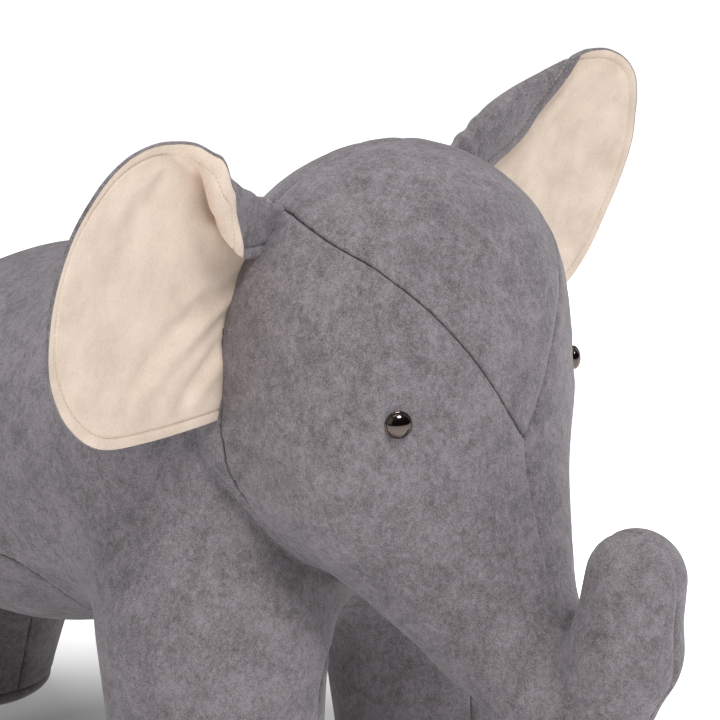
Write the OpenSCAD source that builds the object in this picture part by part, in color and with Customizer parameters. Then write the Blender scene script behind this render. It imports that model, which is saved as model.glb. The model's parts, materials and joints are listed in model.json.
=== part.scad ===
// Stuffed sit-on elephant: a wooden frame, foam blocks, a sewn velour cover and two hinged ears.
// The animal faces -Y and stands on the plane Z = 0. Its left side is +X.
// The origin is on the floor, under the middle of the whole toy.

/* [Body] */
// Radius of the shoulder end of the barrel
shoulder_r = 128; // [122:1:132]
// Height of the shoulder end's centre
shoulder_z = 330; // [326:1:336]
// Place of the shoulder end's centre along the body
shoulder_y = -60; // [-66:1:-56]
// Radius of the middle of the barrel
middle_r = 117; // [112:1:120]
// Height of the middle of the barrel
middle_z = 290; // [286:1:296]
// Place of the middle of the barrel along the body
middle_y = 84; // [70:1:100]
// Radius of the rump end of the barrel
rump_r = 98; // [94:1:100]
// Height of the rump end's centre
rump_z = 252; // [250:1:256]
// Place of the rump end's centre along the body
rump_y = 244; // [236:1:246]
// How much wider than tall the barrel is
barrel_widening = 1.1; // [1.05:0.01:1.15]

/* [Legs] */
// Radius of a leg where it enters the body
thigh_r = 64; // [60:1:66]
// Radius of a leg at its sole
foot_r = 50; // [48:1:52]
// Sideways place of a leg where it enters the body
thigh_x = 89; // [86:1:92]
// Sideways place of a foot
foot_x = 96; // [92:1:98]
// Place of the front thighs along the body
front_thigh_y = -120; // [-124:1:-116]
// Height of the front thighs
front_thigh_z = 232; // [226:1:236]
// Place of the front feet along the body
front_foot_y = -134; // [-140:1:-128]
// Place of the rear thighs along the body
rear_thigh_y = 248; // [244:1:252]
// Height of the rear thighs
rear_thigh_z = 216; // [212:1:222]
// Place of the rear feet along the body
rear_foot_y = 321.5; // [312:0.5:322]
// Height of the rounding above the sole
foot_round = 7; // [4:1:9]

/* [Head] */
// Half the skull's width
skull_rx = 116; // [112:1:118]
// Half the skull's depth
skull_ry = 91; // [88:1:93]
// Half the skull's height
skull_rz = 104; // [100:1:107]
// Place of the skull's centre along the body
skull_y = -177; // [-180:1:-174]
// Height of the skull's centre
skull_z = 411; // [408:1:414]
// Radius of the brow end of the face
brow_r = 79; // [76:1:80]
// Place of the brow's centre along the body
brow_y = -186; // [-188:1:-184]
// Height of the brow's centre
brow_z = 353; // [350:1:356]
// Radius of the cheeks
cheek_r = 75; // [73:1:76]
// Sideways place of the cheeks
cheek_x = 38; // [36:1:39]
// Radius of the swelling behind each ear, where the head meets the shoulders
nape_r = 55; // [50:1:58]

/* [Trunk] */
// Radius at the root of the trunk
trunk_root_r = 39; // [37:1:40]
// Radius at the bottom of the trunk's curl
trunk_bend_r = 34; // [33:1:35]
// Radius at the tip of the trunk
trunk_tip_r = 26.5; // [25:0.5:27.5]
// Place of the trunk's tip along the body
trunk_tip_y = -345; // [-347:1:-343]
// Height of the trunk's tip
trunk_tip_z = 299; // [294:1:302]

/* [Ears] */
// Width of an ear outside its sewn root
ear_w = 156; // [146:1:158]
// Height of an ear
ear_h = 168; // [160:1:172]
// Height of an ear's lowest edge above the floor
ear_z = 371; // [368:1:376]
// Thickness of the wadding inside an ear
ear_wadding_t = 5; // [4:0.5:6]
// Thickness of the fabric on each face of an ear
ear_fabric_t = 1.5; // [1:0.25:2]
// Angle by which an ear's tip stands ahead of its root
ear_sweep = 5.5; // [0:0.5:10]

/* [Eyes] */
// Diameter of an eye's dome
eye_d = 15; // [12:1:16]
// Distance between the eyes
eye_spacing = 160; // [158:1:162]
// Height of the eyes
eye_z = 384; // [382:1:386]

/* [Cover and foam] */
// Thickness of the velour with its backing
cover_t = 2.5; // [2:0.5:3]
// Gap between the cover and the foam
foam_gap = 0.3; // [0.3:0.1:0.6]

/* [Frame] */
// Thickness of the plywood
board_t = 18; // [15:1:18]
// Diameter of a leg post
post_d = 36; // [32:1:38]
// Half the width of the seat board
board_half_w = 60; // [54:1:64]
// Diameter of a frame bolt
bolt_d = 8; // [6:1:8]

/* [Hidden] */

soft_fn = 24;               // facets of the soft shapes
round_fn = 48;              // facets of turned and moulded pieces
clear = 0.3;                // running gap round the frame inside the foam
far = 700;                  // reaches past the whole toy
right = -1;                 // side of the animal's right
left = 1;                   // side of the animal's left

velour = [0.46, 0.44, 0.46];
cream = [0.90, 0.82, 0.74];
foam_yellow = [0.93, 0.88, 0.70];
fibre_white = [0.95, 0.95, 0.93];
plywood = [0.80, 0.66, 0.46];
beech = [0.82, 0.62, 0.42];
zinc = [0.72, 0.73, 0.75];
black_nickel = [0.10, 0.09, 0.10];

// Legs: thigh centre, foot centre and name order follow front or rear.
front_leg = [[thigh_x, front_thigh_y, front_thigh_z], [foot_x, front_foot_y, 0]];
rear_leg = [[thigh_x, rear_thigh_y, rear_thigh_z], [foot_x, rear_foot_y, 0]];

// The face runs from the brow to the muzzle, where the trunk starts.
brow = [0, brow_y, brow_z];
muzzle = [0, brow_y - 70, brow_z - 100];
cheek = [cheek_x, brow_y - 2, brow_z + 2];
jowl = [10, brow_y - 65, brow_z - 92];
jowl_r = 32;
nape = [55, skull_y + 32, skull_z - 44];
throat = [34, skull_y + 12, skull_z - 108];
throat_r = nape_r - 9;
// The trunk curls forward and up: centre and radius at each stage.
trunk_chain = [
    [muzzle, trunk_root_r],
    [[0, brow_y - 105, brow_z - 131], (trunk_root_r + trunk_bend_r) / 2 - 1],
    [[0, brow_y - 131, brow_z - 145], trunk_bend_r],
    [[0, trunk_tip_y + 4, trunk_tip_z - 43], (trunk_bend_r + trunk_tip_r) / 2],
    [[0, trunk_tip_y, trunk_tip_z], trunk_tip_r]];
trunk_cut_z = brow_z - 108;     // the head's stuffing ends at this height
trunk_cut_y = brow_y - 113;     // and at this place, in the crook of the trunk

// Seams of the head.
cross_seam_y = -146;            // where the ear-to-ear seam meets the ears' lower roots
cross_seam_z = 370;
cross_seam_lean = 8.5;          // degrees that this seam leans forward as it rises
gusset_outline = [
    [0, 363], [20, 391], [34, 412], [62, 449], [78, 469], [86, 484], [80, 540],
    [-80, 540], [-86, 484], [-78, 469], [-62, 449], [-34, 412], [-20, 391]];

// The belly panel takes in the inner half of each leg.
belly_seam_x = 90;
belly_seam_z = 222;
belly_arch_y = 88;              // the seam arches up between the legs
belly_arch_z = 120;
belly_arch_r = 132;

// Frame.
rail_z = 236;                   // underside of the rails, on top of the posts
rail_half_l = 108;
rail_w = 36;
board_z = rail_z + board_t;
board_y0 = -135;
board_y1 = 258;
board_corner_r = 25;
post_floor = 9;                 // a post ends this far above the floor
bolt_l = 45;
bolt_head_d = 2 * bolt_d;
bolt_head_h = 5;
screw_d = 4.5;
screw_l = 32;

// Eyes.
eye_dome_h = 5.5;
eye_shank_d = 5;
eye_shank_l = 16;
eye_y = -247.5;
eye_turn = 37;                  // degrees from straight ahead
eye_pitch = 2;                  // degrees that the eye looks up
washer_d = 18;
washer_t = 1.5;
washer_depth = 7;               // behind the cover's surface

// Ears: the hinge line runs up the sewn root.
ear_root_low = [105, -144, ear_z - 1];
ear_root_high = [93, -155, 468];
ear_root_gap = 4;               // from the hinge line to the ear's inner edge
ear_head_gap = 0.9;             // from the head to the ear's inner edge
ear_forward = 20;               // degrees that an ear swings toward the face
ear_backward = 30;              // degrees that an ear swings toward the shoulder
ear_tip_r = 52;
ear_apex_r = 20;
ear_low_r = 46;

// Tail.
tail_root = [0, 339, 306];
tail_bend = [0, 351, 271];
tail_tip = [0, 358, 205];
tail_r0 = 9;
tail_r1 = 7.5;
tail_cover_t = 1.5;

// ---------------------------------------------------------------- shapes

module ball(centre, r, widening = 1) {
    translate(centre)
        scale([widening, 1, 1])
            sphere(r, $fn = soft_fn);
}

// A tapered limb with round ends.
module limb(a, ra, b, rb, widening = 1) {
    hull() {
        ball(a, ra, widening);
        ball(b, rb, widening);
    }
}

// The barrel of the body, grown or shrunk by off.
module barrel(off) {
    limb([0, shoulder_y, shoulder_z], shoulder_r + off, [0, middle_y, middle_z], middle_r + off,
        barrel_widening);
    limb([0, middle_y, middle_z], middle_r + off, [0, rump_y, rump_z], rump_r + off,
        barrel_widening);
}

// One leg, with a rounded edge above its flat sole.
module leg(side, ends, off) {
    mirror([side == right ? 1 : 0, 0, 0])
        hull() {
            ball(ends[0], thigh_r + off);
            translate([ends[1].x, ends[1].y, cover_t])
                cylinder(h = 1, r = foot_r - foot_round / 2 + off, $fn = soft_fn);
            translate([ends[1].x, ends[1].y, cover_t + foot_round])
                cylinder(h = 1, r = foot_r + off, $fn = soft_fn);
        }
}

module all_legs(off) {
    for (side = [right, left])
        for (ends = [front_leg, rear_leg])
            leg(side, ends, off);
}

module body_form(off) {
    barrel(off);
    all_legs(off);
}

module skull(off) {
    translate([0, skull_y, skull_z])
        scale([skull_rx + off, skull_ry + off, skull_rz + off])
            sphere(1, $fn = soft_fn);
}

// The upper head, from the crown down to the cheeks, with its swellings behind the ears.
module upper_head(off) {
    hull() {
        skull(off);
        ball(brow, brow_r + off);
        for (side = [right, left])
            ball([side * cheek.x, cheek.y, cheek.z], cheek_r + off);
    }
    for (side = [right, left])
        limb([side * nape.x, nape.y, nape.z], nape_r + off,
            [side * throat.x, throat.y, throat.z], throat_r + off);
}

module head_form(off) {
    upper_head(off);
    hull() {
        ball(brow, brow_r + off);
        ball(muzzle, trunk_root_r + off);
        for (side = [right, left]) {
            ball([side * cheek.x, cheek.y, cheek.z], cheek_r + off);
            ball([side * jowl.x, jowl.y, jowl.z], jowl_r + off);
        }
    }
    for (i = [0 : len(trunk_chain) - 2])
        limb(trunk_chain[i][0], trunk_chain[i][1] + off,
            trunk_chain[i + 1][0], trunk_chain[i + 1][1] + off);
}

// Everything ahead of the ear-to-ear seam.
module ahead_of_cross_seam(slack = 0) {
    translate([0, cross_seam_y + slack, cross_seam_z])
        rotate([cross_seam_lean, 0, 0])
            translate([-far, -far, -far])
                cube([2 * far, far, 2 * far]);
}

module gusset_region() {
    translate([0, cross_seam_y, 0])
        rotate([90, 0, 0])
            linear_extrude(far)
                polygon(gusset_outline);
}

module half(side) {
    translate([side == right ? -far : 0, -far, -far])
        cube([far, 2 * far, 2 * far]);
}

// The shell of the head outside the body.
module head_shell() {
    difference() {
        head_form(0);
        head_form(-cover_t);
        body_form(foam_gap);
        eye_holes(eye_shank_d / 2 + clear);
    }
}

module body_shell() {
    difference() {
        body_form(0);
        body_form(-cover_t);
        translate([-far, -far, -2 * far + cover_t + 0.05])
            cube([2 * far, 2 * far, 2 * far]);
        neck_blank(board_t + 2 * clear, clear);
    }
}

module belly_region() {
    translate([-belly_seam_x, -far, 0])
        cube([2 * belly_seam_x, 2 * far, belly_seam_z]);
    translate([-far, belly_arch_y, belly_arch_z])
        rotate([0, 90, 0])
            cylinder(h = 2 * far, r = belly_arch_r, $fn = round_fn);
}

// ---------------------------------------------------------------- frame

// Point on a leg's axis at height z, on the left side.
function on_axis(ends, z) = ends[1] + (ends[0] - ends[1]) * z / ends[0].z;

module place_post(side, ends) {
    low = on_axis(ends, 0);
    high = on_axis(ends, rail_z);
    tilt_x = atan2(low.y - high.y, rail_z);
    tilt_y = atan2(high.x - low.x, rail_z);
    translate([side * low.x, low.y, 0])
        rotate([tilt_x, side * tilt_y, 0])
            children();
}

module leg_post(side, ends, grow = 0) {
    color(beech)
        intersection() {
            place_post(side, ends)
                translate([0, 0, -20])
                    cylinder(h = rail_z + 60, d = post_d + 2 * grow, $fn = round_fn);
            translate([-far, -far, post_floor - grow])
                cube([2 * far, 2 * far, rail_z - post_floor + grow]);
        }
}

module drilled_leg_post(side, ends) {
    color(beech)
        difference() {
            leg_post(side, ends);
            bolt(side, ends, 0.1);
        }
}

module rail_blank(ends, grow = 0) {
    y = on_axis(ends, rail_z).y;
    translate([-rail_half_l - grow, y - rail_w / 2 - grow, rail_z - grow])
        cube([2 * (rail_half_l + grow), rail_w + 2 * grow, board_t + 2 * grow]);
}

module rail(ends) {
    color(plywood)
        difference() {
            rail_blank(ends);
            for (side = [right, left])
                bolt(side, ends, 0.1);
            screws(ends, 0.1);
        }
}

module board_blank(grow = 0) {
    translate([0, 0, board_z - grow])
        linear_extrude(board_t + 2 * grow)
            hull()
                for (x = [-1, 1])
                    for (y = [board_y0 + board_corner_r, board_y1 - board_corner_r])
                        translate([x * (board_half_w - board_corner_r), y])
                            circle(board_corner_r + grow, $fn = round_fn);
}

module seat_board() {
    color(plywood)
        difference() {
            board_blank();
            neck_blank(board_t + 0.2, 0.1);
            screws(front_leg, 0.1);
            screws(rear_leg, 0.1);
        }
}

// Outline of the neck board in the plane X = 0, as [y, z].
neck_tab = [-62, -18];
neck_top = 448;
neck_outline = [
    [-112, board_z + board_t], [neck_tab[0], board_z + board_t], [neck_tab[0], board_z + 1],
    [neck_tab[1], board_z + 1], [neck_tab[1], board_z + board_t], [30, board_z + board_t],
    [18, 318], [-52, 372], [-118, neck_top - 10], [-134, neck_top], [-196, neck_top],
    [-208, neck_top - 16], [-196, neck_top - 44], [-150, 352]];

module neck_blank(t, grow = 0) {
    translate([-t / 2, 0, 0])
        rotate([90, 0, 90])
            linear_extrude(t)
                offset(delta = grow)
                    polygon(neck_outline);
}

module neck_board() {
    color(plywood)
        neck_blank(board_t);
}

// A hex-headed bolt down through the rail into the post.
module bolt(side, ends, grow = 0) {
    top = on_axis(ends, rail_z);
    head = board_z - bolt_head_h - grow;
    translate([side * (top.x - 3), top.y, head]) {
        cylinder(h = bolt_head_h + (grow > 0 ? 1 : 0), d = bolt_head_d + 2 * grow,
            $fn = grow > 0 ? round_fn : 6);
        translate([0, 0, -bolt_l])
            cylinder(h = bolt_l, d = bolt_d + 2 * grow, $fn = round_fn);
    }
}

module frame_bolts() {
    color(zinc)
        for (side = [right, left])
            for (ends = [front_leg, rear_leg])
                bolt(side, ends);
}

// Countersunk screws that hold the board down on one rail.
module screws(ends, grow = 0) {
    y = on_axis(ends, rail_z).y;
    head_r = screw_d;
    for (x = [-32, 32])
        translate([x, y, board_z + board_t - screw_l]) {
            cylinder(h = screw_l + (grow > 0 ? 1 : 0), r = screw_d / 2 + grow, $fn = round_fn);
            translate([0, 0, screw_l - head_r])
                cylinder(h = head_r, r1 = screw_d / 2 + grow, r2 = head_r + grow, $fn = round_fn);
        }
}

module rail_screws() {
    color(zinc) {
        screws(front_leg);
        screws(rear_leg);
    }
}

// The space that the frame needs inside the foam.
module frame_space() {
    board_blank(clear);
    neck_blank(board_t + 2 * clear, clear);
    for (ends = [front_leg, rear_leg]) {
        rail_blank(ends, clear);
        for (side = [right, left])
            leg_post(side, ends, clear);
    }
}

// ---------------------------------------------------------------- foam and stuffing

module body_foam(side) {
    color(foam_yellow)
        difference() {
            intersection() {
                barrel(-cover_t - foam_gap);
                half(side);
            }
            frame_space();
        }
}

module leg_foam(side, ends) {
    color(foam_yellow)
        difference() {
            leg(side, ends, -cover_t - foam_gap);
            barrel(-cover_t);
            frame_space();
        }
}

module trunk_region() {
    translate([-far, -far, -far])
        cube([2 * far, far + muzzle.y + 8, far + trunk_cut_z]);
    translate([-far, trunk_cut_y - 2 * far, -far])
        cube([2 * far, 2 * far, 2 * far]);
}

module head_stuffing() {
    color(fibre_white)
        difference() {
            head_form(-cover_t - foam_gap);
            body_form(foam_gap);
            neck_blank(board_t + 2 * clear, clear);
            trunk_region();
            eye_holes(eye_shank_d / 2 + clear);
            for (side = [right, left])
                place_eye(side)
                    translate([0, 0, -washer_depth - washer_t - 1])
                        cylinder(h = washer_depth + washer_t + 3, d = washer_d + 1, $fn = round_fn);
        }
}

module trunk_stuffing() {
    color(fibre_white)
        intersection() {
            head_form(-cover_t - foam_gap);
            trunk_region();
        }
}

// ---------------------------------------------------------------- covers

module body_cover() {
    color(velour)
        difference() {
            body_shell();
            belly_region();
        }
}

module belly_cover() {
    color(velour)
        intersection() {
            body_shell();
            belly_region();
        }
}

module sole(side, ends) {
    color(velour)
        translate([side * ends[1].x, ends[1].y, 0])
            cylinder(h = cover_t, r = foot_r - foot_round / 2 - 1, $fn = round_fn);
}

module crown_gusset() {
    color(velour)
        intersection() {
            head_shell();
            ahead_of_cross_seam();
            gusset_region();
        }
}

module head_side_cover(side) {
    color(velour)
        difference() {
            intersection() {
                head_shell();
                ahead_of_cross_seam();
                half(side);
            }
            gusset_region();
        }
}

module head_back_cover(side) {
    color(velour)
        difference() {
            intersection() {
                head_shell();
                half(side);
            }
            ahead_of_cross_seam();
        }
}

// ---------------------------------------------------------------- ears

// The ear's outline beside its root: x runs out from the hinge line, y runs up.
module ear_outline(inset) {
    hull() {
        translate([ear_w - ear_tip_r, ear_h - ear_tip_r - 8])
            circle(ear_tip_r - inset, $fn = round_fn);
        translate([ear_w - ear_tip_r + 4, ear_h - ear_apex_r])
            circle(ear_apex_r - inset, $fn = round_fn);
        translate([ear_w - ear_tip_r - 12, ear_low_r + 11])
            circle(ear_low_r - inset, $fn = round_fn);
        translate([ear_root_gap + 8, 10])
            circle(8 - inset, $fn = round_fn);
        translate([ear_root_gap + 4, ear_h - 50])
            circle(8 - inset, $fn = round_fn);
    }
}

// The room that the head needs beside an ear while the ear swings on its root.
module head_beside_ear() {
    for (turn = [-ear_forward : 10 : ear_backward])
        translate(ear_root_low)
            rotate(-turn, ear_root_high - ear_root_low)
                translate(-ear_root_low)
                    upper_head(ear_head_gap);
}

// A layer of the ear between two depths, in front of and behind the ear's middle plane.
module ear_layer(side, front, back, inset) {
    lean = (ear_root_high - ear_root_low) / (ear_root_high.z - ear_root_low.z);
    mirror([side == right ? 1 : 0, 0, 0])
        difference() {
            translate([ear_root_low.x, ear_root_low.y, ear_z])
                multmatrix([[1, 0, lean.x, 0], [0, 1, lean.y, 0], [0, 0, 1, 0]])
                    rotate([90, 0, -ear_sweep])
                        translate([0, 0, -back])
                            linear_extrude(front + back)
                                ear_outline(inset);
            head_beside_ear();
        }
}

module ear_lining(side) {
    color(cream)
        ear_layer(side, ear_wadding_t / 2 + ear_fabric_t, -ear_wadding_t / 2 - 0.05, 1);
}

module ear_wadding(side) {
    color(fibre_white)
        ear_layer(side, ear_wadding_t / 2, ear_wadding_t / 2, 3);
}

module ear_back(side) {
    color(velour)
        ear_layer(side, -ear_wadding_t / 2 - 0.05, ear_wadding_t / 2 + ear_fabric_t, 0);
}

// ---------------------------------------------------------------- eyes

module place_eye(side) {
    translate([side * eye_spacing / 2, eye_y, eye_z])
        rotate([0, 0, side * eye_turn])
            rotate([90 - eye_pitch, 0, 0])
                children();
}

// Half the outline of the dome, from its rim to its top.
dome_steps = 8;
dome = [for (i = [0 : dome_steps])
    [eye_d / 2 * cos(90 * i / dome_steps), eye_dome_h * sin(90 * i / dome_steps)]];

module eye(side) {
    color(black_nickel)
        place_eye(side)
            rotate_extrude($fn = round_fn)
                polygon(concat(
                    [[0, -eye_shank_l], [eye_shank_d / 2, -eye_shank_l], [eye_shank_d / 2, 0]], dome));
}

module eye_washer(side) {
    color(zinc)
        place_eye(side)
            translate([0, 0, -washer_depth - washer_t])
                difference() {
                    cylinder(h = washer_t, d = washer_d, $fn = round_fn);
                    translate([0, 0, -1])
                        cylinder(h = washer_t + 2, d = eye_shank_d + 0.1, $fn = round_fn);
                }
}

module eye_holes(r) {
    for (side = [right, left])
        place_eye(side)
            translate([0, 0, -eye_shank_l - 1])
                cylinder(h = eye_shank_l + 4, r = r, $fn = round_fn);
}

// ---------------------------------------------------------------- tail

// The tail bends over the rump, then hangs.
module tail_form(off) {
    limb(tail_root, tail_r0 + off, tail_bend, tail_r0 - 0.5 + off);
    limb(tail_bend, tail_r0 - 0.5 + off, tail_tip, tail_r1 + off);
}

module tail_stuffing() {
    color(fibre_white)
        tail_form(-tail_cover_t - 0.2);
}

module tail_cover() {
    color(velour)
        difference() {
            tail_form(0);
            tail_form(-tail_cover_t);
            translate([-far, -far, tail_root.z + 2])
                cube([2 * far, 2 * far, far]);
        }
}

// ---------------------------------------------------------------- nodes

seat_board();
rail(front_leg);  // front_rail
rail(rear_leg);  // rear_rail
neck_board();
drilled_leg_post(right, front_leg);  // leg_post_front_right
drilled_leg_post(left, front_leg);  // leg_post_front_left
drilled_leg_post(right, rear_leg);  // leg_post_rear_right
drilled_leg_post(left, rear_leg);  // leg_post_rear_left
frame_bolts();
rail_screws();
body_foam(right);  // body_foam_right
body_foam(left);  // body_foam_left
leg_foam(right, front_leg);  // leg_foam_front_right
leg_foam(left, front_leg);  // leg_foam_front_left
leg_foam(right, rear_leg);  // leg_foam_rear_right
leg_foam(left, rear_leg);  // leg_foam_rear_left
head_stuffing();
trunk_stuffing();
body_cover();
belly_cover();
sole(right, front_leg);  // sole_front_right
sole(left, front_leg);  // sole_front_left
sole(right, rear_leg);  // sole_rear_right
sole(left, rear_leg);  // sole_rear_left
crown_gusset();
head_side_cover(right);  // head_side_cover_right
head_side_cover(left);  // head_side_cover_left
head_back_cover(right);  // head_back_cover_right
head_back_cover(left);  // head_back_cover_left
ear_lining(right);  // ear_lining_right
ear_wadding(right);  // ear_wadding_right
ear_back(right);  // ear_back_right
ear_lining(left);  // ear_lining_left
ear_wadding(left);  // ear_wadding_left
ear_back(left);  // ear_back_left
eye(right);  // eye_right
eye(left);  // eye_left
eye_washer(right);  // eye_washer_right
eye_washer(left);  // eye_washer_left
tail_stuffing();
tail_cover();
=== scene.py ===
import json
import math
from itertools import product

import bmesh
import bpy
import numpy as np
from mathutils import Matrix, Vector


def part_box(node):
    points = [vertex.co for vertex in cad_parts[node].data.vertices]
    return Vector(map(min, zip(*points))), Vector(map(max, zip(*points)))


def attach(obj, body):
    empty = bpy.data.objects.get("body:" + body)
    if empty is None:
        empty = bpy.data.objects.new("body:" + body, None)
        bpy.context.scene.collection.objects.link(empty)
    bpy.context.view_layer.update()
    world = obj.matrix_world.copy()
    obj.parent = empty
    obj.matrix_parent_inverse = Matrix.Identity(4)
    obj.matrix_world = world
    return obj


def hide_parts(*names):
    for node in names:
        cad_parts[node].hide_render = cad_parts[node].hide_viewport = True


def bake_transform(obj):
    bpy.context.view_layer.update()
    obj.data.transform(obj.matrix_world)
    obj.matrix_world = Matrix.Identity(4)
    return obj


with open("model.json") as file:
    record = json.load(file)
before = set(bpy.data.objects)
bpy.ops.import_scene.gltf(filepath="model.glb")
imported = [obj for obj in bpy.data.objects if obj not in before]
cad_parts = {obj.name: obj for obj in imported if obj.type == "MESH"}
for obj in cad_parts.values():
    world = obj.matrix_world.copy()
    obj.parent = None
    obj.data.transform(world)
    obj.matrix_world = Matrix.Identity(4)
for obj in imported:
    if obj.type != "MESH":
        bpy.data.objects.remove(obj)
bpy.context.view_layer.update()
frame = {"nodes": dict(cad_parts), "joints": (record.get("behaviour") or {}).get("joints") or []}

MM = 0.001
STEP = 3.0      # spacing of the cover's mesh
SIDES = (("right", -1), ("left", 1))
ENDS = ("front", "rear")


# ------------------------------------------------------------------ places from the frame

def box(node):
    low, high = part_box(node)
    return np.array(low) / MM, np.array(high) / MM


def point(*values):
    return np.array(values, float)


foam_low, foam_high = box("body_foam_left")
FOAM_INSET = 2.8                       # the foam lies this far under the cover
SHOULDER_R, MIDDLE_R, RUMP_R = 128, 117, 98
shoulder = point(0, foam_low[1] + SHOULDER_R - FOAM_INSET, foam_high[2] - SHOULDER_R + FOAM_INSET)
rump = point(0, foam_high[1] - RUMP_R + FOAM_INSET, shoulder[2] - 78)
middle = shoulder + point(0, 144, -40)
BARREL_WIDENING = 1.1

FOOT_R, THIGH_R = 50, 66
foot = {end: (box(f"sole_{end}_left")[0] + box(f"sole_{end}_left")[1]) / 2 + point(3, 0, 0) for end in ENDS}
thigh = {"front": foot["front"] + point(-7, 14, 231), "rear": foot["rear"] + point(-8, -73, 215)}

SKULL_R = point(116, 91, 102.5)
skull = point(0, shoulder[1] - 117, box("crown_gusset")[1][2] - 104)
brow = skull + point(0, -9, -58)
BROW_R, MUZZLE_R = 79, 39
muzzle = brow + point(0, -70, -100)
cheek, CHEEK_R = brow + point(38, -2, 2), 69
jowl, JOWL_R = brow + point(10, -66, -89), 31
# The back of the head swells out to each side where it meets the shoulders.
nape, NAPE_R = skull + point(57, 38, -50), 56
throat, THROAT_R = skull + point(44, 22, -92), 46
trunk_low, trunk_high = box("trunk_stuffing")
TRUNK_TIP_R = 26.5
trunk_tip = point(0, trunk_low[1] + TRUNK_TIP_R - FOAM_INSET, trunk_high[2] - TRUNK_TIP_R + FOAM_INSET)
TRUNK = [(muzzle, MUZZLE_R), (muzzle + point(0, -35, -31), 35.5), (muzzle + point(0, -60, -45), 33.5),
         (trunk_tip + point(0, 5, -43), 29.5), (trunk_tip, TRUNK_TIP_R)]
crook = trunk_tip + point(0, 43, -34)  # the hollow of the curl

joints = {j["name"]: j for j in frame["joints"]}


# ------------------------------------------------------------------ shapes as distances

def smooth_min(a, b, k):
    h = np.clip(0.5 + 0.5 * (b - a) / k, 0, 1)
    return b * (1 - h) + a * h - k * h * (1 - h)


def smooth_max(a, b, k):
    return -smooth_min(-a, -b, k)


def round_cone(p, a, b, ra, rb):
    """Distance to two balls and the cone that joins them."""
    ba = b - a
    length2, taper = ba @ ba, ra - rb
    pa = p - a
    along = pa @ ba
    across2 = ((pa * length2 - along[:, None] * ba) ** 2).sum(1)
    past = along - length2
    k = np.sign(taper) * taper * taper * across2
    slope2 = length2 - taper * taper
    d = (np.sqrt(across2 * slope2 / length2) + along * taper) / length2 - ra
    near_a = np.sign(along) * slope2 * along * along * length2 < k
    near_b = np.sign(past) * slope2 * past * past * length2 > k
    d = np.where(near_a, np.linalg.norm(pa, axis=1) - ra, d)
    return np.where(near_b, np.linalg.norm(p - b, axis=1) - rb, d)


def ellipsoid(p, centre, radii):
    q = p - centre
    k0, k1 = np.linalg.norm(q / radii, axis=1), np.linalg.norm(q / radii ** 2, axis=1)
    return k0 * (k0 - 1) / np.maximum(k1, 1e-9)


def mirrored(p):
    """The points folded over onto the animal's left."""
    q = p.copy()
    q[:, 0] = np.abs(q[:, 0])
    return q


def head_field(p):
    q = mirrored(p)
    d = smooth_min(ellipsoid(p, skull, SKULL_R), round_cone(p, brow, muzzle, BROW_R, MUZZLE_R), 32)
    d = smooth_min(d, round_cone(q, cheek, jowl, CHEEK_R, JOWL_R), 28)
    d = smooth_min(d, round_cone(q, nape, throat, NAPE_R, THROAT_R), 11)
    trunk = None
    for (a, ra), (b, rb) in zip(TRUNK, TRUNK[1:]):
        part = round_cone(p, a, b, ra, rb)
        trunk = part if trunk is None else smooth_min(trunk, part, 8)
    return smooth_min(d, trunk, 12)


def leg_field(p):
    q = mirrored(p)
    return np.minimum(*[round_cone(q, thigh[e], foot[e] * (1, 1, 0), THIGH_R, FOOT_R) for e in ENDS])


FOOT_SEAM = 15                         # height of the seam round each sole


def body_field(p):
    wide = p / (BARREL_WIDENING, 1, 1)
    d = smooth_min(round_cone(wide, shoulder, middle, SHOULDER_R, MIDDLE_R),
                   round_cone(wide, middle, rump, MIDDLE_R, RUMP_R), 20)
    d = smooth_min(d, leg_field(p), 42)
    return smooth_max(d, -p[:, 2], 13)


def slope(field, p, reach=0.4):
    """Gradient of a field by central differences."""
    columns = []
    for k in range(3):
        step = np.zeros(3)
        step[k] = reach
        columns.append((field(p + step) - field(p - step)) / (2 * reach))
    return np.stack(columns, 1)


def settle(field, p, rounds=3):
    """Moves points onto the surface."""
    for _ in range(rounds):
        g = slope(field, p)
        p = p - g * (field(p) / np.maximum((g ** 2).sum(1), 1e-6))[:, None]
    return p


def normals(field, p):
    g = slope(field, p)
    return g / np.linalg.norm(g, axis=1)[:, None]


def distance_to(p, place):
    return np.linalg.norm(p - place, axis=1)


def bell(x, width):
    return np.exp(-(x / width) ** 2)


def noise(p, size, seed):
    """Smooth noise from -1 to 1, the same at every run."""
    q = p / size + seed * 11.7
    cell = np.floor(q).astype(np.int64)
    f = q - cell
    f = f * f * (3 - 2 * f)
    total = 0
    for corner in product((0, 1), repeat=3):
        n = cell + corner
        h = (n[:, 0] * 73856093) ^ (n[:, 1] * 19349663) ^ (n[:, 2] * 83492791) ^ (seed * 2654435)
        h = ((h ^ (h >> 13)) * 1274126177) & 0x7FFFFFFF
        h = (h ^ (h >> 15)) & 0xFFFF
        total = total + (h / 32767.5 - 1) * np.prod(np.where(corner, f, 1 - f), axis=1)
    return total


def curve(x, knots):
    """A smooth curve through (x, y) knots, level past its ends."""
    kx, ky = np.array(knots, float).T
    m = np.gradient(ky, kx)
    x = np.clip(x, kx[0], kx[-1])
    i = np.clip(np.searchsorted(kx, x) - 1, 0, len(kx) - 2)
    h = kx[i + 1] - kx[i]
    t = (x - kx[i]) / h
    return ((2 * t ** 3 - 3 * t ** 2 + 1) * ky[i] + (t ** 3 - 2 * t ** 2 + t) * h * m[i]
            + (3 * t ** 2 - 2 * t ** 3) * ky[i + 1] + (t ** 3 - t ** 2) * h * m[i + 1])


# ------------------------------------------------------------------ seams as signed fields

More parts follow.
